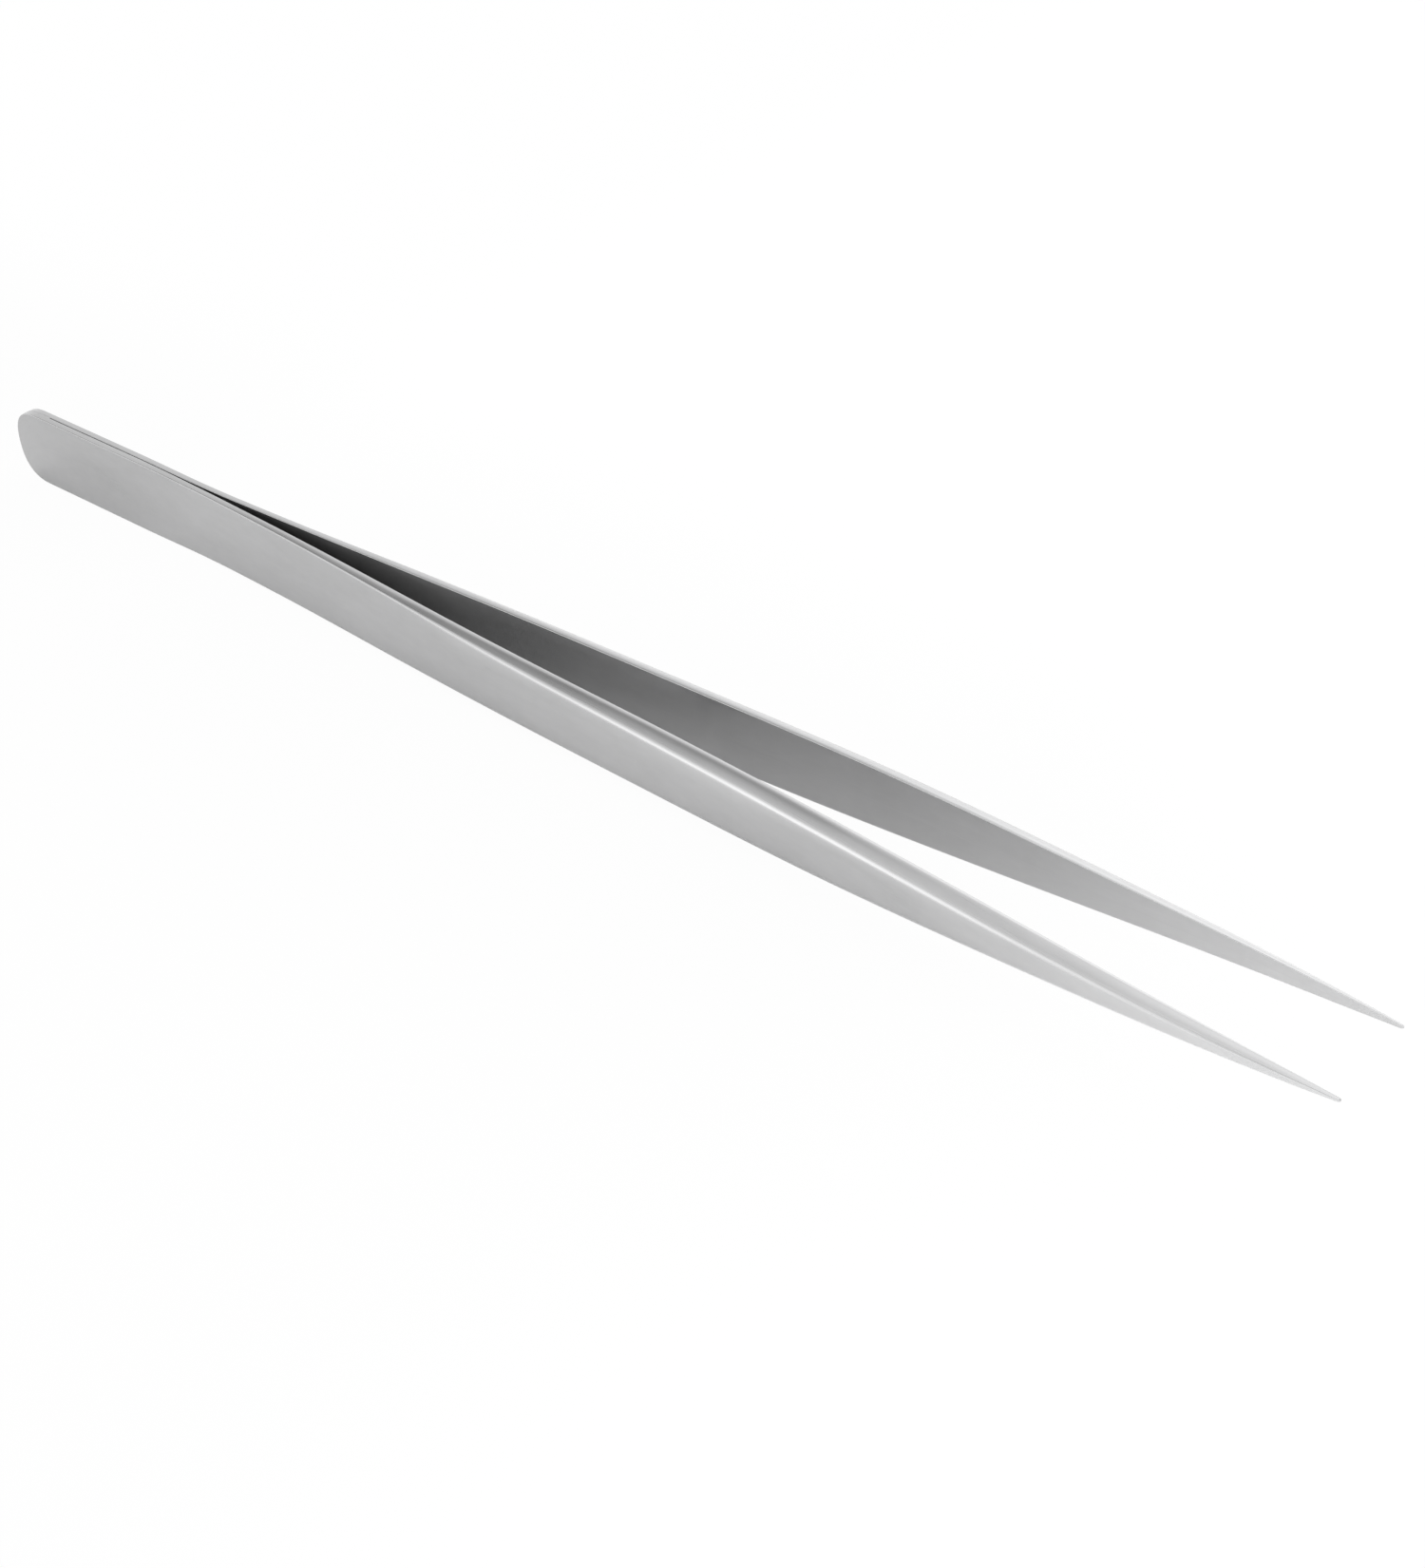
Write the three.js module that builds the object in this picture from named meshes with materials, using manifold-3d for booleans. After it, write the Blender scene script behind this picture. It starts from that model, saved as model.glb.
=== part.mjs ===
// Straight aquascaping tweezers, 270 mm long: two stainless spring arms laid
// face to face at the tail, held by two spot welds inside the tail and by an
// edge weld ground flush round the rounded tail end. Ahead of the tail the
// arms bow apart and run out to two long needle points.
//
// Frame: millimetres, +Z up. +X runs from the tail to the points, and the arms
// open along Y (right arm at -Y, left arm at +Y). Z is the width of the blades.
// The origin is the middle of the overall box, on the plane the lower edges of
// the blades lie on.
//
// Each arm is parted by a narrow slit at the section its front end turns about,
// so that the blade can swing there while the rear stays with the welded tail.

import * as THREE from 'three';
import * as BufferGeometryUtils from 'three/addons/utils/BufferGeometryUtils.js';
import Module from 'manifold-3d';

// ---- driving dimensions ----
const LENGTH = 270;
const TAIL_WIDTH = 13.9; // blade width over the welded tail
const TAIL_RADIUS = TAIL_WIDTH / 2; // the tail is rounded off over this length
const TAIL_FULLNESS = 2.5; // superellipse power of the tail end: 2 is a half circle, more is blunter
const TAIL_HALF_GAP = 0.08; // half the clearance between the two tail faces
const TAIL_FLAT_END = 36; // the tail section is constant up to here
const FLEXURE_X = 75; // section the front of each arm turns about
const SLIT = 0.3; // length of the slit that parts each arm there

const WELD_GAP = 0.3; // clearance between weld metal and its pocket
const SPOT_X = { rear: 14, front: 32 }; // spot-weld centres from the tail end
const SPOT_RADIUS = 2.5;
const SPOT_HALF_THICKNESS = 0.45; // reach into each arm
const SPOT_SEGMENTS = 28;
const NUGGET_STEPS = 12; // steps in the nugget's profile
const SEAM_HALF_WIDTH = 0.4; // half the width of the edge weld, across the joint
const SEAM_DEPTH = 0.7; // how far the edge weld reaches in from the rim
const TAIL_END_STEPS = 44; // steps round the outline of the tail end
const GROOVE_OVERRUN = 2; // how far the groove cutter stands out past the rim

const EDGE_BREAK = 0.12; // broken inner arris
const FLANK_TURN = 2.5; // power of the flank's slope curve: more turns it over earlier
const FLANK_PASSES = 12; // passes that settle the flank curve
const FREE_FROM = 50; // the flat-sided tail section starts to change here
const FREE_TO = 100; // and is fully the convex blade section here
const CREST_SHARE = 0.6; // share of the fade from the corner in to the crown
const CORNER_RISE = 2.4; // rise at the ridge corner, times crown * corner / fade
const TIP_REACH = 0.05; // the end section is trimmed as if it stood here
const MERGE_TOLERANCE = 1e-4;

// Profiles along the arm: distance from the tail end, then the values there.
// gap: half the opening, to the inner face; width: widest place, on the flank;
// land: width over the ridges where flank and outer face meet; thick: inner
// face to ridge; fade: how far the outer face rounds in from the ridge; crown:
// how far the outer face stands above the ridge; lean: slope of the flank where
// it leaves the inner face; corner: size of the rounding on the ridge.
const COLUMNS = ['gap', 'width', 'land', 'thick', 'fade', 'crown', 'lean', 'corner'];
const PROFILE = [
  // x, gap, width, land, thick, fade, crown, lean, corner
  [0, TAIL_HALF_GAP, TAIL_WIDTH, 13.80, 1.20, 1.0, 0.00, 0.05, 0.15],
  [TAIL_FLAT_END, TAIL_HALF_GAP, TAIL_WIDTH, 13.80, 1.20, 1.0, 0.00, 0.05, 0.15],
  [44,     0.10, 13.62, 13.51, 1.18, 1.0,  0.00, 0.07, 0.15],
  [48,     0.15, 13.48, 13.36, 1.17, 1.0,  0.00, 0.08, 0.20],
  [55,     0.30, 13.31, 13.15, 1.16, 1.0,  0.00, 0.12, 0.20],
  [62,     0.58, 13.22, 12.98, 1.17, 1.0,  0.01, 0.17, 0.20],
  [75,     1.13, 13.08, 12.70, 1.26, 1.0,  0.02, 0.24, 0.21],
  [87,     1.74, 12.88, 12.42, 1.43, 1.1,  0.03, 0.29, 0.23],
  [100,    2.47, 12.61, 12.04, 1.66, 1.4,  0.06, 0.34, 0.27],
  [108,    2.93, 12.44, 11.66, 1.79, 2.4,  0.18, 0.38, 0.36],
  [115,    3.33, 12.30, 11.30, 1.91, 3.0,  0.30, 0.40, 0.42],
  [130,    4.03, 12.04, 10.60, 2.15, 3.2,  0.38, 0.42, 0.48],
  [160,    5.09, 11.62, 9.52,  2.50, 2.9,  0.38, 0.43, 0.50],
  [175,    5.70, 11.20, 8.90,  2.60, 2.7,  0.37, 0.43, 0.50],
  [190,    6.31, 10.34, 7.98,  2.65, 2.4,  0.35, 0.42, 0.50],
  [205,    6.82, 8.92,  6.54,  2.64, 2.0,  0.31, 0.40, 0.48],
  [220,    7.25, 7.14,  4.84,  2.54, 1.6,  0.27, 0.36, 0.44],
  [232,    7.60, 5.64,  3.58,  2.28, 1.3,  0.22, 0.32, 0.40],
  [245,    7.92, 4.04,  2.40,  1.86, 0.90, 0.15, 0.28, 0.30],
  [257,    8.06, 2.52,  1.46,  1.26, 0.52, 0.08, 0.24, 0.20],
  [265,    8.05, 1.40,  0.80,  0.78, 0.28, 0.04, 0.20, 0.12],
  [LENGTH, 8.00, 0.54,  0.31,  0.42, 0.10, 0.01, 0.15, 0.05],
];

// ---- profile curves: a monotone cubic through each column ----
function columnSlopes(column) {
  const spans = PROFILE.slice(1).map((row, i) => row[0] - PROFILE[i][0]);
  const chords = spans.map((span, i) => (PROFILE[i + 1][column] - PROFILE[i][column]) / span);
  const inner = chords.slice(1).map((after, i) => {
    const before = chords[i];
    if (before * after <= 0) return 0;
    const weightBefore = 2 * spans[i + 1] + spans[i];
    const weightAfter = spans[i + 1] + 2 * spans[i];
    return (weightBefore + weightAfter) / (weightBefore / before + weightAfter / after);
  });
  return [chords[0], ...inner, chords[chords.length - 1]];
}
const SLOPES = COLUMNS.map((name, i) => columnSlopes(i + 1));

// All the profile values at x, by column name.
function profileAt(x) {
  let i = 0;
  while (i < PROFILE.length - 2 && x > PROFILE[i + 1][0]) i++;
  const span = PROFILE[i + 1][0] - PROFILE[i][0];
  const s = (x - PROFILE[i][0]) / span;
  const values = COLUMNS.map((name, k) => [
    name,
    (2 * s ** 3 - 3 * s ** 2 + 1) * PROFILE[i][k + 1]
      + (s ** 3 - 2 * s ** 2 + s) * span * SLOPES[k][i]
      + (-2 * s ** 3 + 3 * s ** 2) * PROFILE[i + 1][k + 1]
      + (s ** 3 - s ** 2) * span * SLOPES[k][i + 1],
  ]);
  return Object.fromEntries(values);
}

// How far the rounded tail end cuts into each edge of the blade at x.
function tailTrim(x) {
  if (x >= TAIL_RADIUS) return 0;
  const along = 1 - Math.max(x, TIP_REACH) / TAIL_RADIUS;
  return TAIL_RADIUS * (1 - (1 - along ** TAIL_FULLNESS) ** (1 / TAIL_FULLNESS));
}

// Flank curve, as distance across the blade against height above the inner
// face. It leaves the inner face at the given lean, turns over to the full half
// width at the peak height, then falls almost straight to the ridge.
function flankCurve(half, land, thick, lean) {
  const power = FLANK_TURN + 1;
  let endSlope = -0.3; // first guess of the slope at the ridge
  let start = half;
  let peak = 0;
  const rise = (height) => endSlope * height
    + (((lean - endSlope) * thick) / power) * (1 - (1 - height / thick) ** power);
  for (let i = 0; i < FLANK_PASSES; i++) {
    peak = thick * (1 - (-endSlope / (lean - endSlope)) ** (1 / FLANK_TURN));
    start = half - rise(peak);
    endSlope = (((land - start) / thick - lean / power) * power) / FLANK_TURN;
  }
  return { start, peak, acrossAt: (height) => start + rise(height) };
}

// Cross-section: ten corners as [across, outward] pairs, running up the +Z half
// from the inner face to the outer face and back down the -Z half. Across is
// along Z from the middle of the blade, outward is along Y away from the other
// arm. Over the tail the flanks and outer face are flat; ahead of it the flanks
// become convex.
function section(x) {
  const { gap, width, land: landWidth, thick, fade: fullFade, crown, lean, corner: fullCorner }
    = profileAt(x);
  const trim = tailTrim(x);
  const half = width / 2 - trim;
  const land = landWidth / 2 - trim;
  const fade = Math.min(fullFade, 0.8 * land);
  const corner = Math.min(fullCorner, 0.3 * land, 0.3 * thick);
  const arris = Math.min(EDGE_BREAK, 0.2 * half, 0.2 * thick);
  const flank = flankCurve(half, land, thick, lean);
  const free = THREE.MathUtils.smoothstep(x, FREE_FROM, FREE_TO);
  const mix = (tailValue, bladeValue) => THREE.MathUtils.lerp(tailValue, bladeValue, free);
  const ridge = gap + thick;
  const crest = fade * CREST_SHARE;
  const upper = [
    [half - mix(arris, half - flank.start), gap],
    [half, gap + mix(arris, flank.peak)],
    [mix(half, flank.acrossAt(thick - corner)), ridge - corner],
    [mix(half - corner, land - corner), ridge + mix(0, (CORNER_RISE * crown * corner) / fade)],
    [mix(half - corner - crest, land - crest), ridge + crown],
  ];
  const lower = upper.map(([across, outward]) => [-across, outward]).reverse();
  return [...upper, ...lower];
}
const CORNERS = 10;

// ---- geometry helpers ----
function closedShape(points) {
  const shape = new THREE.Shape(points.map(([x, y]) => new THREE.Vector2(x, y)));
  shape.closePath();
  return shape;
}

// Copy with positions only and coincident vertices merged.
function mergedCopy(geometry) {
  const bare = geometry.clone();
  bare.deleteAttribute('normal');
  bare.deleteAttribute('uv');
  return BufferGeometryUtils.mergeVertices(bare, MERGE_TOLERANCE);
}

// A plate lying in the plane of the blades (X along, Z across), spread evenly
// either side of the joint between the arms.
function plate(points, halfThickness) {
  const geometry = new THREE.ExtrudeGeometry(closedShape(points), {
    depth: 2 * halfThickness,
    steps: 1,
    bevelEnabled: false,
    curveSegments: 1,
  });
  geometry.rotateX(Math.PI / 2);
  geometry.translate(0, halfThickness, 0);
  return geometry;
}

const wasm = await Module();
wasm.setup();

function toSolid(geometry) {
  const merged = mergedCopy(geometry);
  return new wasm.Manifold(new wasm.Mesh({
    numProp: 3,
    vertProperties: new Float32Array(merged.getAttribute('position').array),
    triVerts: new Uint32Array(merged.getIndex().array),
  }));
}

function toGeometry(solid) {
  const mesh = solid.getMesh();
  const geometry = new THREE.BufferGeometry();
  geometry.setAttribute('position', new THREE.Float32BufferAttribute(mesh.vertProperties, 3));
  geometry.setIndex(new THREE.Uint32BufferAttribute(mesh.triVerts, 1));
  return geometry;
}

// ---- arms ----
// A ten-cornered ring is extruded one unit per station, then each of its rings
// is drawn out to the section at that station. Side is -1 for the right arm and
// +1 for the left.
function armGeometry(stations, side) {
  const ring = Array.from({ length: CORNERS }, (unused, i) => {
    const angle = (2 * Math.PI * (i + 0.5)) / CORNERS;
    return [Math.cos(angle), Math.sin(angle)];
  });
  const steps = stations.length - 1;
  const body = mergedCopy(new THREE.ExtrudeGeometry(closedShape(ring), {
    depth: steps,
    steps,
    bevelEnabled: false,
    curveSegments: 1,
  }));
  const position = body.getAttribute('position');
  const sections = stations.map(section);
  for (let i = 0; i < position.count; i++) {
    const station = Math.round(position.getZ(i));
    let turn = Math.atan2(position.getY(i), position.getX(i)) / (2 * Math.PI);
    if (turn < 0) turn += 1;
    const corner = Math.round(turn * CORNERS - 0.5) % CORNERS;
    const [across, outward] = sections[station][corner];
    position.setXYZ(i, stations[station], side * outward, across);
  }
  if (side > 0) flipTriangles(body.getIndex());
  return body;
}

// The left arm is a mirror image, so its triangles have to be turned over.
function flipTriangles(index) {
  for (let i = 0; i < index.count; i += 3) {
    const second = index.getX(i + 1);
    index.setX(i + 1, index.getX(i + 2));
    index.setX(i + 2, second);
  }
}

// Evenly stepped stations, up to and including last where a step lands on it.
function stepped(first, last, step) {
  const out = [];
  for (let x = first; x <= last; x += step) out.push(x);
  return out;
}

// Close together round the tail end, with the first steps the finest.
function tailStations() {
  const parts = 9; // parts of the quarter turn round the tail end
  const shift = 0.35; // part of a step by which the stations are moved on
  const rounded = stepped(1, parts - 1, 1).map(
    (i) => TAIL_RADIUS * (1 - Math.cos((Math.PI / 2) * ((i + shift) / parts))));
  return [
    0, ...rounded, TAIL_RADIUS, 20, TAIL_FLAT_END, 40, 44, 48,
    ...stepped(51, FLEXURE_X - 1, 3),
    FLEXURE_X - SLIT / 2,
  ];
}

function bladeStations() {
  return [
    FLEXURE_X + SLIT / 2,
    ...stepped(78, 135, 3),
    ...stepped(140, 180, 5),
    ...stepped(184, 252, 4),
    ...stepped(255, LENGTH - 1, 3),
    LENGTH,
  ];
}

// ---- welds and their pockets ----
// Outline of the rounded tail end, set in by the given amount, from the -Z edge
// of the blade round to the +Z edge, as [along, across] points.
function tailEndOutline(inset) {
  const reach = TAIL_RADIUS - inset;
  const power = 2 / TAIL_FULLNESS;
  const points = [];
  for (let i = 0; i <= TAIL_END_STEPS; i++) {
    const angle = -Math.PI / 2 + (Math.PI * i) / TAIL_END_STEPS;
    const cosine = Math.max(Math.cos(angle), 0);
    const sine = Math.sin(angle);
    points.push([
      TAIL_RADIUS - reach * cosine ** power,
      reach * Math.sign(sine) * Math.abs(sine) ** power,
    ]);
  }
  return points;
}

// Groove cutter: everything outside the tail-end outline set in by its depth.
function grooveGeometry() {
  const depth = SEAM_DEPTH + WELD_GAP;
  const inner = TAIL_RADIUS - depth;
  const front = TAIL_RADIUS + WELD_GAP;
  const far = TAIL_RADIUS + GROOVE_OVERRUN;
  return plate([
    [front, inner],
    [front, far],
    [-GROOVE_OVERRUN, far],
    [-GROOVE_OVERRUN, -far],
    [front, -far],
    [front, -inner],
    ...tailEndOutline(depth),
  ], SEAM_HALF_WIDTH + WELD_GAP);
}

// Bead round the tail end, flush with the rim.
function seamGeometry() {
  const outline = [...tailEndOutline(0), ...tailEndOutline(SEAM_DEPTH).reverse()];
  return plate(outline, SEAM_HALF_WIDTH);
}

// Round pocket cutter for one spot-weld nugget.
function pocketGeometry(x) {
  const radius = SPOT_RADIUS + WELD_GAP;
  const height = 2 * (SPOT_HALF_THICKNESS + WELD_GAP);
  return new THREE.CylinderGeometry(radius, radius, height, SPOT_SEGMENTS).translate(x, 0, 0);
}

// Spot-weld nugget: a lens of fused metal across the joint.
function nuggetGeometry() {
  const profile = [];
  for (let i = 0; i <= NUGGET_STEPS; i++) {
    const angle = -Math.PI / 2 + (Math.PI * i) / NUGGET_STEPS;
    const onAxis = i === 0 || i === NUGGET_STEPS;
    profile.push(new THREE.Vector2(
      onAxis ? 0 : SPOT_RADIUS * Math.cos(angle),
      SPOT_HALF_THICKNESS * Math.sin(angle),
    ));
  }
  return new THREE.LatheGeometry(profile, SPOT_SEGMENTS);
}

function tailGeometry(side) {
  const cutters = [grooveGeometry(), ...Object.values(SPOT_X).map(pocketGeometry)];
  const arm = toSolid(armGeometry(tailStations(), side));
  return toGeometry(cutters.reduce((solid, cutter) => solid.subtract(toSolid(cutter)), arm));
}

// ---- finishes ----
const steel = (color, roughness) => (
  new THREE.MeshStandardMaterial({ color, roughness, metalness: 1 }));
const tailSteel = () => steel(0xb4b4b5, 0.42);
const bladeSteel = () => steel(0xadadae, 0.45);
const weldSteel = () => steel(0xa3a3a4, 0.5);

// ---- assembly ----
const tweezers = new THREE.Group();
tweezers.name = 'aquascaping_tweezers';

// Everything in this group is measured from the tail end along the middle of
// the blades.
const tool = new THREE.Group();
tool.position.set(-LENGTH / 2, 0, TAIL_WIDTH / 2);
tweezers.add(tool);

function addPiece(name, geometry, material, x = 0) {
  const mesh = new THREE.Mesh(geometry, material);
  mesh.name = name;
  mesh.position.x = x;
  tool.add(mesh);
}

const SIDES = { right: -1, left: 1 };
for (const [name, side] of Object.entries(SIDES)) {
  addPiece(`${name}_arm_tail`, tailGeometry(side), tailSteel());
}
for (const [name, side] of Object.entries(SIDES)) {
  addPiece(`${name}_arm_blade`, armGeometry(bladeStations(), side), bladeSteel());
}
for (const [name, x] of Object.entries(SPOT_X)) {
  addPiece(`${name}_spot_weld`, nuggetGeometry(), weldSteel(), x);
}
addPiece('tail_seam_weld', seamGeometry(), weldSteel());

export default tweezers;
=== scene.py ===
# A slim two-armed spring tool, tweezer fashion, lying on its side on a white
# floor. It runs along X, closed tail at -X and points at +X, and the arms open
# along Y, left arm at +Y. Its width stands along Z, with its underside at z = 0.
import math

import bmesh
import bpy
import numpy as np
from mathutils import Matrix, Vector


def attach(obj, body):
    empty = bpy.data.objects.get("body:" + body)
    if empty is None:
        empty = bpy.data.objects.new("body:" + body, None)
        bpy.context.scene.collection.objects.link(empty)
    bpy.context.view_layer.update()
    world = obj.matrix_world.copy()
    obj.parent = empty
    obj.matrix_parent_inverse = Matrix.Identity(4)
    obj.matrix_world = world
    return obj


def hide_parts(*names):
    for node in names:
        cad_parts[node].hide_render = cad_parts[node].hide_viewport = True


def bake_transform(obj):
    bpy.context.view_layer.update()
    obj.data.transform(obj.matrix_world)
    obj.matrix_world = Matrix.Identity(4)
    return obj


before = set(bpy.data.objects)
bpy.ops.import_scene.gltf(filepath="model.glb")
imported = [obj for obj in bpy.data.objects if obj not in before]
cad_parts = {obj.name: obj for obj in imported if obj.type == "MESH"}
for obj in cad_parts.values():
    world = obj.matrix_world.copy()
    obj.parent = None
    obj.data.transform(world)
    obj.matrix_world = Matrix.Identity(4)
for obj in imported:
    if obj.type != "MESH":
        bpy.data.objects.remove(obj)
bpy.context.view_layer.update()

MM = 0.001
SCENE = bpy.context.scene

# ---------------------------------------------------------------- dimensions
# Millimetres. Lengths along the tool start at its tail end.
LENGTH = 270.0
WIDTH = 13.9
TAIL_RADIUS = WIDTH / 2
TAIL_GAP = 0.08          # from the middle plane to an arm's inner face
TAIL_FULLNESS = 2.5      # superellipse exponent of the tail outline, 2 is round
FLANK_TURN = 2.2         # how early a flank turns over to its full width
INNER_ARRIS = 0.09       # rounding between inner face and flank
BELLY = 0.05             # bulge of the outer face
FULL_BELLY_LAND = 5.5    # half land at which the belly reaches its full height

# Section of one arm at stations along it:
#   x       station
#   gap     middle plane to inner face
#   width   greatest width
#   land    width at the outer ridges
#   thick   inner face to the outer ridges
#   fade    distance in from a ridge over which the crown rises
#   crown   rise of the outer face above the ridges
#   lean    slope of the flank where it leaves the inner face
#   corner  rounding of the ridges
COLUMNS = ("x", "gap", "width", "land", "thick", "fade", "crown", "lean", "corner")
PROFILE = np.array([
    [0,   TAIL_GAP, WIDTH, 13.80, 1.20, 1.0, 0.00, 0.05, 0.15],
    [36,  TAIL_GAP, WIDTH, 13.80, 1.20, 1.0, 0.00, 0.05, 0.15],
    [44,  0.10, 13.62, 13.51, 1.18, 1.0,  0.00, 0.07, 0.15],
    [48,  0.15, 13.48, 13.36, 1.17, 1.0,  0.00, 0.08, 0.20],
    [55,  0.30, 13.31, 13.15, 1.16, 1.0,  0.00, 0.12, 0.20],
    [62,  0.58, 13.22, 12.98, 1.17, 1.0,  0.01, 0.17, 0.20],
    [75,  1.13, 13.08, 12.70, 1.26, 1.0,  0.02, 0.24, 0.21],
    [87,  1.74, 12.88, 12.42, 1.43, 1.1,  0.03, 0.29, 0.23],
    [100, 2.47, 12.61, 12.04, 1.66, 1.4,  0.06, 0.34, 0.27],
    [108, 2.93, 12.44, 11.66, 1.79, 2.4,  0.18, 0.38, 0.36],
    [115, 3.33, 12.30, 11.30, 1.91, 3.0,  0.30, 0.40, 0.42],
    [130, 4.03, 12.04, 10.60, 2.15, 3.2,  0.38, 0.42, 0.48],
    [160, 5.09, 11.62, 9.52,  2.50, 2.9,  0.38, 0.43, 0.50],
    [175, 5.70, 11.20, 8.90,  2.60, 2.7,  0.37, 0.43, 0.50],
    [190, 6.31, 10.34, 7.98,  2.65, 2.4,  0.35, 0.42, 0.50],
    [205, 6.82, 8.92,  6.54,  2.64, 2.0,  0.31, 0.40, 0.48],
    [220, 7.25, 7.14,  4.84,  2.54, 1.6,  0.27, 0.36, 0.44],
    [232, 7.60, 5.64,  3.58,  2.28, 1.3,  0.22, 0.32, 0.40],
    [245, 7.92, 4.04,  2.40,  1.86, 0.90, 0.15, 0.28, 0.30],
    [257, 8.06, 2.52,  1.46,  1.26, 0.52, 0.08, 0.24, 0.20],
    [265, 8.05, 1.40,  0.80,  0.78, 0.28, 0.04, 0.20, 0.12],
    [270, 8.00, 0.54,  0.31,  0.42, 0.10, 0.01, 0.15, 0.05],
], float)

# The profile curves are sampled at this step, past both ends, and eased.
STEP = 0.5
GRID = np.arange(-30.0, LENGTH + 30.5, STEP)
EASE_WIDTH = 3.0         # standard deviation of the easing
EASE_SAMPLES = 24        # samples it takes in on each side
POINT_LENGTH = 14        # last part of the arm, where the easing goes
POINT_BLEND = 8          # length over which it goes


def monotone(knots, values, x):
    """Monotone cubic through the knots."""
    chord = np.diff(values) / np.diff(knots)
    slope = np.zeros(len(knots))
    slope[0], slope[-1] = chord[0], chord[-1]
    for i in range(1, len(knots) - 1):
        if chord[i - 1] * chord[i] > 0:
            before, after = knots[i] - knots[i - 1], knots[i + 1] - knots[i]
            w1, w2 = 2 * after + before, after + 2 * before
            slope[i] = (w1 + w2) / (w1 / chord[i - 1] + w2 / chord[i])
    i = np.clip(np.searchsorted(knots, x, side="right") - 1, 0, len(knots) - 2)
    span = knots[i + 1] - knots[i]
    s = (x - knots[i]) / span
    return ((2 * s**3 - 3 * s**2 + 1) * values[i]
            + (s**3 - 2 * s**2 + s) * span * slope[i]
            + (-2 * s**3 + 3 * s**2) * values[i + 1]
            + (s**3 - s**2) * span * slope[i + 1])


def eased(values):
    """One profile column on GRID, with its curvature eased."""
    y = monotone(PROFILE[:, 0], values, np.clip(GRID, 0, LENGTH))
    # Past the points the curve runs on at the slope of its last millimetre.
    slope = y[np.searchsorted(GRID, LENGTH)] - y[np.searchsorted(GRID, LENGTH - 1)]
    y = y + np.where(GRID > LENGTH, (GRID - LENGTH) * slope, 0)
    offsets = np.arange(-EASE_SAMPLES, EASE_SAMPLES + 1)
    kernel = np.exp(-0.5 * (offsets / (EASE_WIDTH / STEP)) ** 2)
    kernel /= kernel.sum()
    smooth = np.convolve(np.pad(y, EASE_SAMPLES, mode="edge"), kernel, mode="valid")
    # Near the points the section is too small to ease.
    keep = np.clip((GRID - (LENGTH - POINT_LENGTH)) / POINT_BLEND, 0, 1)
    return smooth * (1 - keep) + y * keep


CURVES = {name: eased(PROFILE[:, i]) for i, name in enumerate(COLUMNS) if i}


def at(name, x):
    return float(np.interp(x, GRID, CURVES[name]))


# ------------------------------------------------------------- mesh building
def to_scene(x, y, z):
    """Tool millimetres to scene metres: x from the tail end, z from mid width."""
    return ((x - LENGTH / 2) * MM, y * MM, (z + TAIL_RADIUS) * MM)


def skin(row_count, ring_size):
    """Quads between successive closed rings."""
    faces = []
    for i in range(row_count - 1):
        for j in range(ring_size):
            k = (j + 1) % ring_size
            faces.append([i * ring_size + j, i * ring_size + k,
                          (i + 1) * ring_size + k, (i + 1) * ring_size + j])
    return faces


def link_object(name, mesh):
    obj = bpy.data.objects.new(name, mesh)
    SCENE.collection.objects.link(obj)
    return obj


def solid(name, verts, faces, place, masks, merge):
    """Closed body with its texture place and masks.

    merge joins coincident points and smooths every face; without it only
    quads are smooth."""
    mesh = bpy.data.meshes.new(name)
    mesh.from_pydata(verts, [], faces)
    layer = mesh.attributes.new("place_mm", "FLOAT_VECTOR", "POINT")
    layer.data.foreach_set("vector", np.array(place, np.float32).ravel())
    for mask, values in masks.items():
        layer = mesh.attributes.new(mask, "FLOAT", "POINT")
        layer.data.foreach_set("value", np.array(values, np.float32))
    bm = bmesh.new()
    bm.from_mesh(mesh)
    if merge:
        bmesh.ops.remove_doubles(bm, verts=bm.verts, dist=2e-7)
        bmesh.ops.dissolve_degenerate(bm, dist=1e-8, edges=bm.edges)
    if bm.calc_volume(signed=True) < 0:
        bmesh.ops.reverse_faces(bm, faces=bm.faces)
    for face in bm.faces:
        face.smooth = merge or len(face.verts) == 4
    bm.to_mesh(mesh)
    bm.free()
    return link_object(name, mesh)


# ------------------------------------------------------------------ the arms
# Parts of a section, from the middle of the inner face round to the outer.
INNER, ARRIS, FLANK, RIDGE, OUTER = range(5)
EDGE_MASK = (0.0, 1.0, 0.25, 1.0, 0.0)   # how much each part is an edge

# Places of the section points, as fractions of each part.
INNER_STEPS = (0, 0.18, 0.36, 0.54, 0.70, 0.84, 0.94, 0.985)
FLANK_STEPS = (0.04, 0.12, 0.22, 0.34, 0.48, 0.63, 0.80, 0.95)
CROWN_STEPS = (0.03, 0.12, 0.24, 0.38, 0.52, 0.66, 0.80, 0.92)
TOP_STEPS = (1.0, 0.8, 0.6, 0.4, 0.2, 0)

# Degrees round the tail end from its tip, then (from, to, step) along the arm.
TAIL_ANGLES = (0, 1, 2.5, 4.5, 7, 10, 14, 18, 22, 27, 32, 37, 42, 47, 52, 57, 62,
               67, 72, 76, 80, 83, 85.5, 87.5, 89, 90)
ARM_SPANS = ((8.0, 50.0, 2.0), (50.0, 250.0, 1.0), (250.0, 269.7, 0.5))
POINT_RINGS = 6


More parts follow.
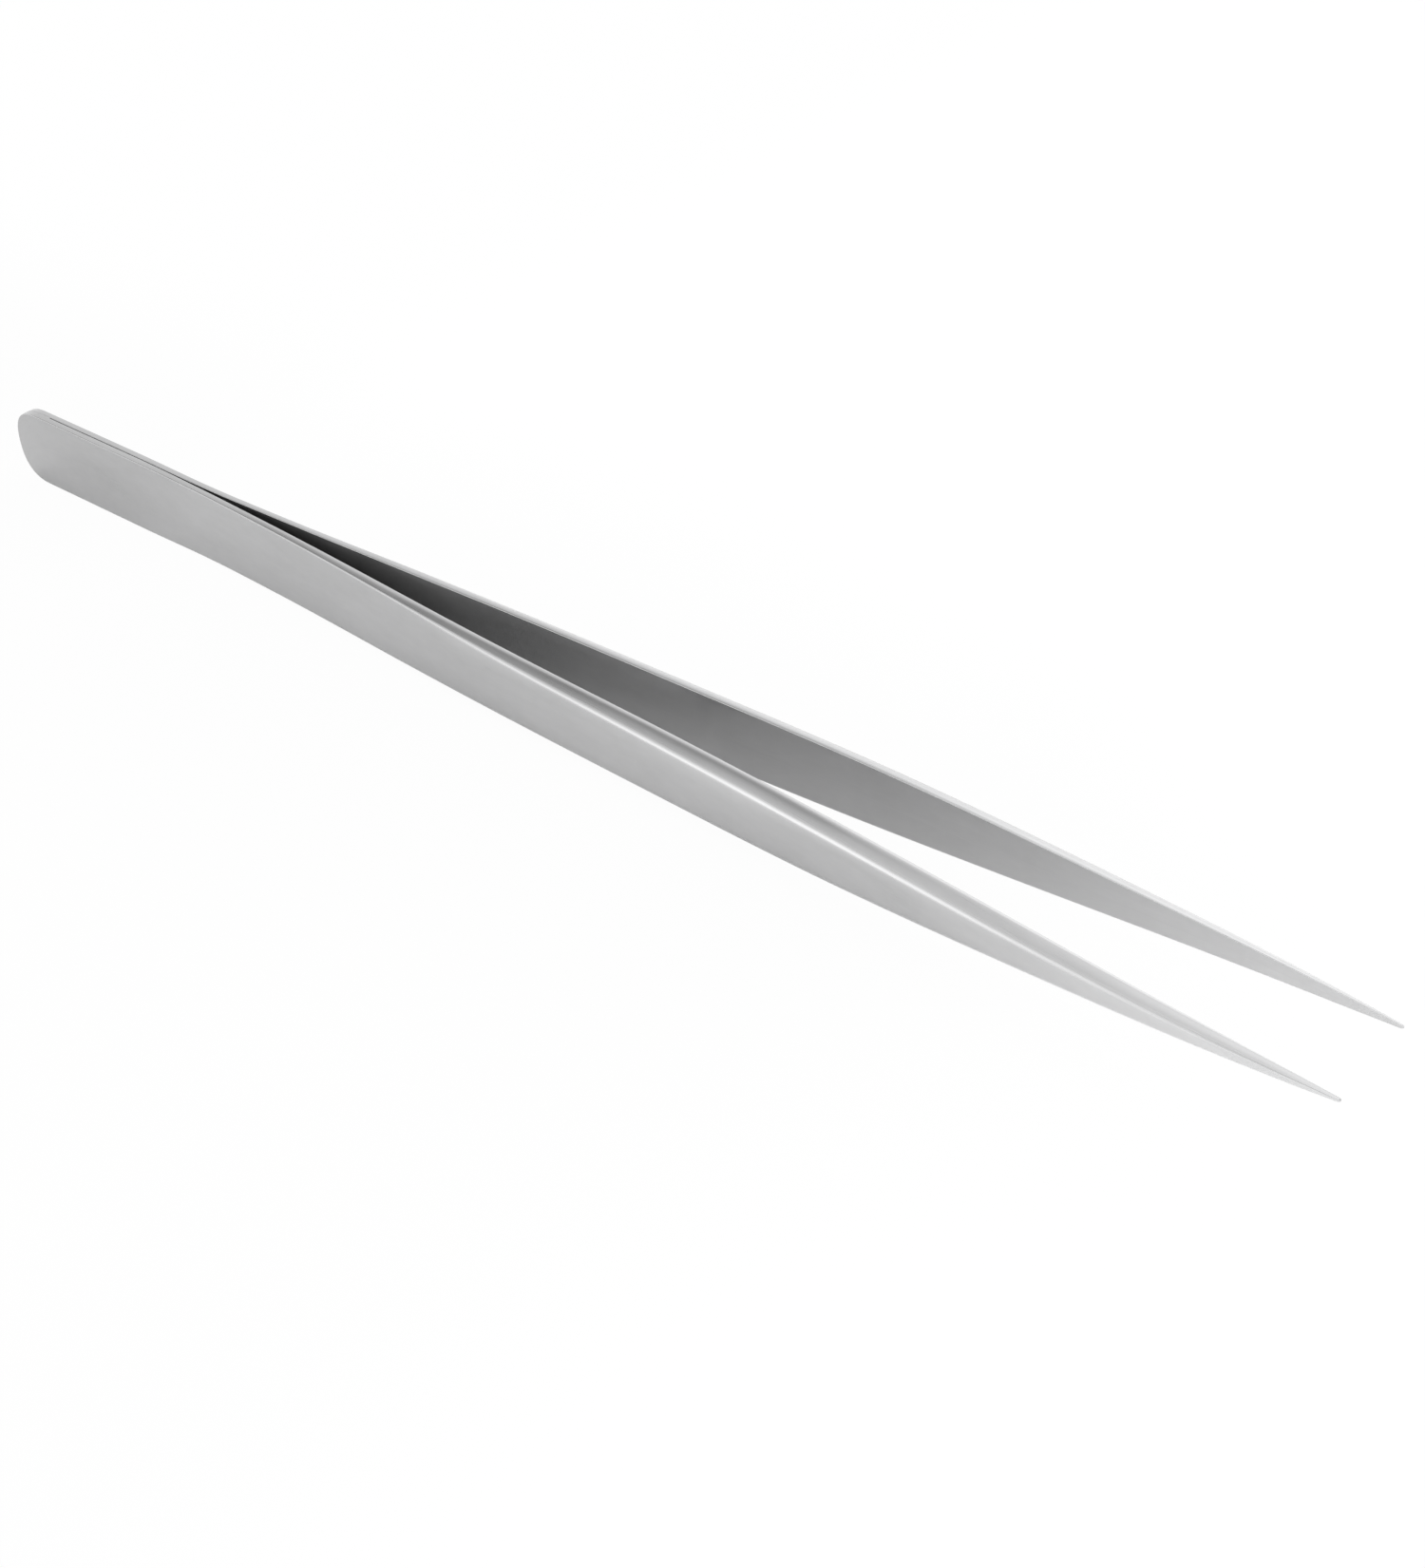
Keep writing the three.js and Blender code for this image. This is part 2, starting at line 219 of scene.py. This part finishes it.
def half_section(x):
    """Points (across, outward, part) from inner centre round to outer centre,
    with the half widths of the inner and outer faces."""
    half, land = at("width", x) / 2, at("land", x) / 2
    gap, thick = at("gap", x), at("thick", x)
    lean, crown = at("lean", x), at("crown", x)
    fade = min(at("fade", x), 0.8 * land)
    corner = min(at("corner", x), 0.3 * land, 0.3 * thick)
    power = FLANK_TURN + 1

    def spread(height, slope):
        """How far the flank has moved out, given its slope at the ridge."""
        return (slope * height
                + (lean - slope) * thick / power * (1 - (1 - height / thick) ** power))

    # The flank leaves the inner face leaning out, turns over early at the full
    # half width, then falls in to the ridge. Solved by repetition.
    slope = -0.3
    for _ in range(12):
        turn = 1 - (-slope / (lean - slope)) ** (1 / FLANK_TURN)
        foot = half - spread(turn * thick, slope)
        slope = ((land - foot) / thick - lean / power) * power / FLANK_TURN

    def flank(height):
        return foot + spread(height, slope)

    def face(z):
        inward = min(max((land - z) / fade, 0.0), 1.0)
        belly = BELLY * min(1.0, (land / FULL_BELLY_LAND) ** 2) * (1 - (z / land) ** 2)
        return gap + thick + crown * (1 - (1 - inward) ** 3) + belly

    arris = min(INNER_ARRIS, 0.2 * foot, 0.2 * thick)
    inner_half = foot - arris
    points = [(inner_half * f, gap, INNER) for f in INNER_STEPS]
    for k in range(5):
        t = math.radians(90 * k / 4)
        points.append((inner_half + (flank(arris) - inner_half) * math.sin(t),
                       gap + arris * (1 - math.cos(t)), ARRIS))
    for f in FLANK_STEPS:
        height = arris + (thick - corner - arris) * f
        points.append((flank(height), gap + height, FLANK))
    # Quadratic curve over the ridge.
    outer_half = land - corner
    low = (flank(thick - corner), gap + thick - corner)
    peak = (land, gap + thick + 1.2 * crown * corner / fade)
    high = (outer_half, face(outer_half))
    for i in range(9):
        t = i / 8
        across, outward = ((1 - t) ** 2 * a + 2 * t * (1 - t) * b + t * t * c
                           for a, b, c in zip(low, peak, high))
        points.append((across, outward, RIDGE))
    top = max(land - fade, 0.0)
    outer = [outer_half + (top - outer_half) * f for f in CROWN_STEPS]
    outer += [top * f for f in TOP_STEPS]
    points += [(z, face(z), OUTER) for z in outer]
    return points, inner_half, outer_half


def around(angle):
    """Unit outline of the tail end: (back, across) for an angle from its tip."""
    power = 2 / TAIL_FULLNESS
    across = math.sin(angle)
    return math.cos(angle) ** power, math.copysign(abs(across) ** power, across)


def arm_ring(x, angle=None):
    """Closed section (x, outward, across, part), swept round the tail end if
    an angle is given."""
    points, inner_half, outer_half = half_section(x)
    ring = []
    for across, outward, part in points:
        if angle is None:
            ring.append((x, outward, across, part))
        else:
            border = {INNER: inner_half, OUTER: outer_half}.get(part, across)
            back, side = around(angle)
            ring.append((TAIL_RADIUS - border * back, outward, across * side, part))
    return ring + [(px, py, -pz, part) for px, py, pz, part in reversed(ring[1:-1])]


def arm_mesh(name, side):
    """One spring arm; side is 1 for +Y and -1 for -Y."""
    rows = [arm_ring(TAIL_RADIUS, math.radians(a)) for a in TAIL_ANGLES]
    for span in ARM_SPANS:
        rows += [arm_ring(float(x)) for x in np.arange(*span)]

    # Rounded point: the last ring shrinks about the middle of the section.
    last = rows[-1]
    last_x = last[0][0]
    last_mid = at("gap", last_x) + at("thick", last_x) / 2
    for k in range(1, POINT_RINGS + 1):
        t = k / POINT_RINGS * math.pi / 2
        x = last_x + (LENGTH - last_x) * math.sin(t)
        shrink = math.cos(t)
        mid = at("gap", x) + at("thick", x) / 2
        rows.append([(x, mid + (py - last_mid) * shrink, pz * shrink, part)
                     for _, py, pz, part in last])

    verts, place, parts = [], [], []
    for row in rows:
        arc = 0.0
        for j, (px, py, pz, part) in enumerate(row):
            if j:
                arc += math.hypot(py - row[j - 1][1], pz - row[j - 1][2])
            verts.append(to_scene(px, side * py, pz))
            # Texture place: along the arm, and round it from the inner face.
            place.append((px, arc, side * 10.0))
            parts.append(part)
    faces = skin(len(rows), len(last))
    if side < 0:
        faces = [quad[::-1] for quad in faces]
    masks = {"edge_mask": [EDGE_MASK[part] for part in parts],
             "inner_face": [float(part == INNER) for part in parts]}
    return solid(name, verts, faces, place, masks, merge=True)


# ------------------------------------------------------------- the seam weld
SEAM_RUN = 2.6           # length past the tail curve over which the bead dies out
SEAM_PROUD = 0.004       # height of the bead above the outline
SEAM_WOBBLE = 0.0015     # uneven part of that height


def seam_section(depth, proud):
    """Closed ring of (y, depth below the tail outline)."""
    half = [(0.06, depth), (0.085, 0.16), (0.15, 0.05),
            (0.21, 0.004), (0.14, -proud * 0.7), (0.07, -proud * 0.95)]
    return [(-y, d) for y, d in half] + [(0.0, -proud)] + half[::-1]


def seam_weld(name):
    """A bead between the two arms, round the tail end, dressed flush."""
    # Stations: angle round the tail, and run past the end of the curve.
    quarter = math.radians(90)
    runs = np.linspace(0.0, SEAM_RUN, 9)[1:]
    path = [(-quarter, float(run)) for run in runs[::-1]]
    path += [(math.radians(float(a)), 0.0) for a in np.linspace(-90, 90, 121)]
    path += [(quarter, float(run)) for run in runs]

    rng = np.random.default_rng(7)
    wobble = np.convolve(rng.normal(0, 1, len(path) + 8), np.ones(9) / 9, mode="valid")
    verts, place = [], []
    for i, (angle, run) in enumerate(path):
        fade = 1 - run / SEAM_RUN
        proud = SEAM_PROUD * fade + SEAM_WOBBLE * wobble[i] * fade
        section = seam_section(0.10 + 0.55 * fade, proud)
        back, across = around(angle)
        for j, (y, depth) in enumerate(section):
            radius = TAIL_RADIUS - (depth + (1 - fade) * 0.06)
            verts.append(to_scene(TAIL_RADIUS + run - radius * back, y, radius * across))
            place.append((i * 0.32, j * 0.08, 5.0))
    size = len(section)
    faces = skin(len(path), size)
    faces.append(list(range(size))[::-1])
    faces.append([(len(path) - 1) * size + j for j in range(size)])
    masks = {"edge_mask": [0.4] * len(verts)}
    return solid(name, verts, faces, place, masks, merge=False)


# ---------------------------------------------------------------- materials
class Nodes:
    """Builds the node tree of a material or world.

    An input may be a number, a vector or another node's output."""

    def __init__(self, owner):
        owner.use_nodes = True
        self.tree = owner.node_tree
        self.tree.nodes.clear()

    def make(self, kind, inputs=None, **props):
        """A node."""
        node = self.tree.nodes.new(kind)
        for key, value in props.items():
            setattr(node, key, value)
        for key, value in (inputs or {}).items():
            if isinstance(value, bpy.types.NodeSocket):
                self.tree.links.new(value, node.inputs[key])
            else:
                node.inputs[key].default_value = value
        return node

    def new(self, kind, inputs=None, output=0, **props):
        """One output of a new node."""
        return self.make(kind, inputs, **props).outputs[output]

    def math(self, operation, *values):
        return self.new("ShaderNodeMath", dict(enumerate(values)), operation=operation)

    def times(self, a, b):
        return self.math("MULTIPLY", a, b)

    def add(self, base, mask, amount):
        """base + mask * amount"""
        return self.math("MULTIPLY_ADD", mask, amount, base)

    def vary(self, base, pattern, amount):
        """base moved up and down by a pattern centred on a half"""
        return self.add(base, self.math("SUBTRACT", pattern, 0.5), amount)

    def ramp(self, value, across, gives=(0.0, 1.0), kind="SMOOTHSTEP"):
        """Goes between the two levels given as the value crosses a range."""
        return self.new("ShaderNodeMapRange", {
            "Value": value, "From Min": across[0], "From Max": across[1],
            "To Min": gives[0], "To Max": gives[1]}, interpolation_type=kind)

    def scaled(self, vector, factors):
        return self.new("ShaderNodeVectorMath", {0: vector, 1: factors},
                        operation="MULTIPLY")

    def dot(self, vector, direction):
        return self.new("ShaderNodeVectorMath", {0: vector, 1: direction}, "Value",
                        operation="DOT_PRODUCT")

    def split(self, vector):
        return self.make("ShaderNodeSeparateXYZ", {0: vector}).outputs

    def noise(self, vector, detail, rough, scale=1.0, distortion=0.0, stretch=None):
        if stretch:
            vector = self.scaled(vector, stretch)
        return self.new("ShaderNodeTexNoise", {
            "Vector": vector, "Scale": scale, "Detail": detail,
            "Roughness": rough, "Distortion": distortion}, "Fac")

    def attribute(self, name, output="Fac"):
        return self.new("ShaderNodeAttribute", output=output,
                        attribute_type="GEOMETRY", attribute_name=name)

    def colour(self, level, tint=(1, 1, 1)):
        channels = [level if t == 1 else self.times(level, t) for t in tint]
        return self.new("ShaderNodeCombineColor", dict(enumerate(channels)))

    def bump(self, height, strength, distance):
        return self.new("ShaderNodeBump", {
            "Strength": strength, "Distance": distance, "Height": height})

    def mix(self, factor, first, second):
        return self.new("ShaderNodeMixShader", {0: factor, 1: first, 2: second})

    def for_camera(self, lighting, seen):
        """One shader for the light it gives, another for the camera's view."""
        return self.mix(self.new("ShaderNodeLightPath", output="Is Camera Ray"),
                        lighting, seen)

    def metal(self, inputs):
        self.finish(self.new("ShaderNodeBsdfPrincipled", {"Metallic": 1.0, **inputs}))

    def finish(self, shader, kind="ShaderNodeOutputMaterial"):
        self.make(kind, {"Surface": shader})


def steel(name, tone=0.62, rough=0.31, grain=1.0, weld=False):
    """Fine satin-ground stainless: hairlines along the arm, a soft micro
    grain, cloudy buffing marks, and edges polished a little brighter."""
    mat = bpy.data.materials.new(name)
    g = Nodes(mat)
    place = g.attribute("place_mm", "Vector")
    edge = g.attribute("edge_mask")
    inner = g.attribute("inner_face")
    along = g.split(place)[0]

    clouds = g.noise(place, stretch=(0.045, 0.16, 1.0), detail=3.0, rough=0.55,
                     distortion=0.4)
    mottled = g.noise(place, stretch=(0.35, 0.8, 1.0), detail=3.0, rough=0.6,
                      distortion=0.2)
    hair = g.noise(place, stretch=(0.10, 11.0, 1.0), detail=4.0, rough=0.6)
    hair_fine = g.noise(place, stretch=(0.35, 28.0, 1.0), detail=2.0, rough=0.5)
    grit = g.noise(place, stretch=(9.0, 13.0, 1.0), detail=2.0, rough=0.6)
    # A few longer handling scratches at a slant: narrow across, long along.
    slant = g.new("ShaderNodeCombineXYZ", {
        0: g.times(g.dot(place, (0.35, 1.9, 0.0)), 6.0),
        1: g.times(along, 0.22)})
    scratch = g.ramp(g.noise(slant, detail=1.0, rough=0.4), across=(0.70, 0.78))

    level = g.vary(tone, clouds, amount=0.11)
    level = g.vary(level, mottled, amount=0.045)
    level = g.vary(level, hair, amount=0.05 * grain)
    level = g.add(level, edge, amount=0.05)
    level = g.add(level, scratch, amount=0.02)
    # The faces between the arms are duller than the outside. Painted shade: their colour is
    # darkened a little along their whole length and strongly towards the closed end, where
    # the arms close in and shade each other.
    painted_wedge_shade = g.times(inner, g.ramp(along, across=(58, 112), gives=(0.58, 0.085)))
    level = g.times(level, g.math("SUBTRACT", 1.0, painted_wedge_shade))

    roughness = g.vary(rough, clouds, amount=0.10)
    roughness = g.vary(roughness, hair, amount=0.12 * grain)
    roughness = g.vary(roughness, grit, amount=0.06)
    roughness = g.add(roughness, edge, amount=-0.04)
    roughness = g.add(roughness, inner, amount=0.10)

    height = g.times(hair, 0.6 * grain)
    height = g.add(height, hair_fine, amount=0.35 * grain)
    height = g.add(height, grit, amount=0.35)
    height = g.add(height, scratch, amount=-0.35)
    if weld:
        ripple = g.noise(place, stretch=(1.6, 0.6, 1.0), detail=2.0, rough=0.5)
        height = g.add(height, ripple, amount=1.2)
    # The points are finished finer than the rest.
    strength = g.ramp(along, across=(205, 240), gives=(0.35, 0.06))

    g.metal({
        "Anisotropic": g.add(0.25, inner, amount=0.30),
        "Base Color": g.colour(level, tint=(1, 1, 1.006)),
        "Roughness": roughness,
        "Normal": g.bump(height, strength=strength, distance=0.000012),
        "Tangent": g.new("ShaderNodeTangent", direction_type="RADIAL", axis="X"),
    })
    return mat


def weld_metal(name):
    """Fused weld metal inside the tail: coarse frozen ripples, dull."""
    mat = bpy.data.materials.new(name)
    g = Nodes(mat)
    place = g.scaled(g.new("ShaderNodeTexCoord", output="Object"), (1000.0,) * 3)
    lumps = g.noise(place, scale=1.3, detail=4.0, rough=0.6)
    fine = g.noise(place, scale=9.0, detail=2.0, rough=0.5)
    level = g.vary(0.42, lumps, amount=0.18)
    g.metal({
        "Base Color": g.colour(level, tint=(1, 0.985, 0.96)),
        "Roughness": g.ramp(lumps, across=(0.3, 0.7), gives=(0.42, 0.6)),
        "Normal": g.bump(g.add(lumps, fine, amount=0.3), strength=0.5, distance=0.00005),
    })
    return mat


arm_steel = steel("satin_stainless")
seam_steel = steel("dressed_weld", tone=0.60, rough=0.38, grain=0.5, weld=True)
nugget_metal = weld_metal("weld_nugget_metal")

# ------------------------------------------------------------------ assembly
arms = {"right_arm": arm_mesh("right_arm_spring", -1),
        "left_arm": arm_mesh("left_arm_spring", 1)}
for body, arm in arms.items():
    arm.data.materials.append(arm_steel)
    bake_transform(arm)
    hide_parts(f"{body}_tail", f"{body}_blade")

seam = seam_weld("tail_seam_bead")
seam.data.materials.append(seam_steel)
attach(seam, "tail")
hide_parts("tail_seam_weld")

for node in ("rear_spot_weld", "front_spot_weld"):
    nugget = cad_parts[node].data
    nugget.materials.clear()
    nugget.materials.append(nugget_metal)

# --------------------------------------------------------------------- floor
FLOOR_HALF = 8.0         # metres
FLOOR_DROP = 0.00002     # metres below the tool
# Painted light and shade in the floor's colour, seen in the tool's reflections, multiplied
# together: axis (0 is x, 1 is y), range along it in metres, and the tones at its two ends.
FLOOR_PAINTED_SHADING = (
    (0, (0.045, 0.14), (0.97, 1.38)),       # brighter towards the points
    (0, (-0.140, -0.085), (0.80, 0.945)),   # darker at the tail
    (0, (-0.100, -0.070), (1.0, 0.955)),
    (0, (-0.015, 0.025), (1.0, 1.045)),
    (1, (0.022, 0.085), (1.0, 1.4)),        # far side, +Y
    (1, (-0.085, -0.026), (1.12, 1.0)),     # near side, -Y
    (1, (-0.030, -0.004), (1.0, 1.06)),
)


def floor_material():
    mat = bpy.data.materials.new("floor_white_painted_light")
    g = Nodes(mat)
    # The floor's colour carries painted light and shade, seen only in the tool's
    # reflections.
    axes = g.split(g.new("ShaderNodeNewGeometry", output="Position"))
    tones = [g.ramp(axes[axis], across=across, gives=gives)
             for axis, across, gives in FLOOR_PAINTED_SHADING]
    painted_floor_shading = tones[0]
    for tone in tones[1:]:
        painted_floor_shading = g.times(painted_floor_shading, tone)
    # Painted shade in the floor's colour between the arms, where little light gets down as
    # they close together.
    half_opening = g.ramp(axes[0], across=(-0.085, 0.055), gives=(0.0005, 0.0068),
                          kind="LINEAR")
    inside = g.math("DIVIDE", g.math("ABSOLUTE", axes[1]), half_opening)
    inside = g.ramp(inside, across=(0.95, 1.45), gives=(1.0, 0.0))
    shade = g.times(g.ramp(axes[0], across=(-0.050, 0.050), gives=(0.66, 0.0)),
                    g.ramp(axes[0], across=(-0.134, -0.122)))
    painted_floor_shading = g.times(painted_floor_shading, g.math("SUBTRACT", 1.0, g.times(inside, shade)))
    diffuse = g.new("ShaderNodeBsdfDiffuse", {"Color": g.colour(painted_floor_shading)})
    # Seen directly, the floor is an evenly lit white sweep. It carries the faintest trace
    # of real shading, mixed with the painted light and shade above.
    glow = g.new("ShaderNodeEmission", {"Color": (1, 1, 1, 1), "Strength": 0.996})
    shading_trace = 0.035
    g.finish(g.for_camera(diffuse, g.mix(shading_trace, glow, diffuse)))
    # It is not a lamp: nothing samples it as a light.
    mat.cycles.emission_sampling = "NONE"
    return mat


def floor():
    mesh = bpy.data.meshes.new("floor")
    s = FLOOR_HALF
    mesh.from_pydata([(-s, -s, 0), (s, -s, 0), (s, s, 0), (-s, s, 0)], [], [(0, 1, 2, 3)])
    obj = link_object("floor", mesh)
    obj.location.z = -FLOOR_DROP
    mesh.materials.append(floor_material())


floor()


# --------------------------------------------------------------------- world
def studio():
    """Soft studio surround, in degrees of azimuth from +X and of elevation."""
    world = bpy.data.worlds.new("studio")
    SCENE.world = world
    g = Nodes(world)
    direction = g.new("ShaderNodeTexCoord", output="Generated")
    x, y, z = g.split(direction)
    azimuth = g.times(g.math("ARCTAN2", y, x), 180 / math.pi)
    elevation = g.times(g.math("ARCSINE", z), 180 / math.pi)

    def lobe(turn, lift, inner, outer):
        """Round patch, full inside the inner angle and gone at the outer."""
        turn, lift = math.radians(turn), math.radians(lift)
        toward = Vector((math.cos(turn) * math.cos(lift),
                         math.sin(turn) * math.cos(lift), math.sin(lift)))
        return g.ramp(g.dot(direction, toward.normalized()),
                      across=(math.cos(math.radians(outer)), math.cos(math.radians(inner))))

    # Pale walls, brighter low down, and a bright ceiling.
    level = g.ramp(elevation, across=(14, 42), gives=(1.12, 0.98))
    level = g.math("ADD", level, g.ramp(elevation, across=(59, 73), gives=(0.0, 0.72)))
    # Dark flag high beyond the tail.
    flag = lobe(turn=-179, lift=52, inner=11, outer=26)
    level = g.times(level, g.add(1.0, flag, amount=-0.70))
    # Broad panel on the far side, +Y.
    panel = g.times(g.ramp(elevation, across=(48, 64), gives=(1.0, 0.0)),
                    g.ramp(azimuth, across=(40, 70)))
    panel = g.times(panel, g.ramp(azimuth, across=(114, 132), gives=(1.0, 0.0)))
    panel = g.times(panel, g.ramp(elevation, across=(8, 44), gives=(0.32, 0.95)))
    level = g.math("ADD", panel, level)
    # Low key softbox on the near side, -Y, towards the tail.
    key = g.times(g.ramp(elevation, across=(-8, 6)),
                  g.ramp(elevation, across=(28, 48), gives=(1.0, 0.0)))
    key = g.times(key, g.ramp(azimuth, across=(-140, -125)))
    key = g.times(key, g.ramp(azimuth, across=(-123, -101), gives=(1.0, 0.0)))
    level = g.add(level, key, amount=0.96)
    # Small softbox above the key, farther round to the tail.
    small = lobe(turn=-158, lift=52, inner=3, outer=13)
    level = g.add(level, small, amount=0.15)

    lighting = g.new("ShaderNodeBackground", {"Strength": level})
    plain = g.new("ShaderNodeBackground", {"Color": (1, 1, 1, 1), "Strength": 0.992})
    g.finish(g.for_camera(lighting, plain), "ShaderNodeOutputWorld")
    world.cycles.sampling_method = "MANUAL"
    world.cycles.sample_map_resolution = 1024


studio()

SCENE.view_settings.view_transform = "Standard"
SCENE.view_settings.look = "None"
SCENE.view_settings.exposure = 0.0
SCENE.view_settings.gamma = 1.0

# -------------------------------------------------------------------- camera
# The camera stands at +X -Y above the tool and looks down at its middle.
TURN = math.radians(41.449)      # of its level right-hand axis from +X
LIFT = math.radians(36.855)      # above the horizontal
ROLL = math.radians(2.610)       # clockwise tilt of the camera
DISTANCE = 358.63                # mm to the tool's middle
SHIFT = (-22.571, 14.698)        # mm, the middle's place right of and above the axis
LENS = 53.8375356                # mm focal length
SENSOR = 36.0                    # mm sensor width


def camera():
    level_right = Vector((math.cos(TURN), math.sin(TURN), 0))
    level_up = Vector((-math.sin(TURN) * math.sin(LIFT),
                       math.cos(TURN) * math.sin(LIFT), math.cos(LIFT)))
    ahead = Vector((-math.sin(TURN) * math.cos(LIFT),
                    math.cos(TURN) * math.cos(LIFT), -math.sin(LIFT)))
    right = level_right * math.cos(ROLL) - level_up * math.sin(ROLL)
    upward = level_right * math.sin(ROLL) + level_up * math.cos(ROLL)
    place = (Vector((0, 0, TAIL_RADIUS)) - ahead * DISTANCE
             - right * SHIFT[0] - upward * SHIFT[1])
    data = bpy.data.cameras.new("camera")
    data.lens = LENS
    data.sensor_width = SENSOR
    data.clip_start = 0.01
    data.clip_end = 30.0
    obj = link_object("camera", data)
    rows = [(r, u, b, p * MM) for r, u, b, p in zip(right, upward, -ahead, place)]
    obj.matrix_world = Matrix(rows + [(0, 0, 0, 1)])
    SCENE.camera = obj


camera()
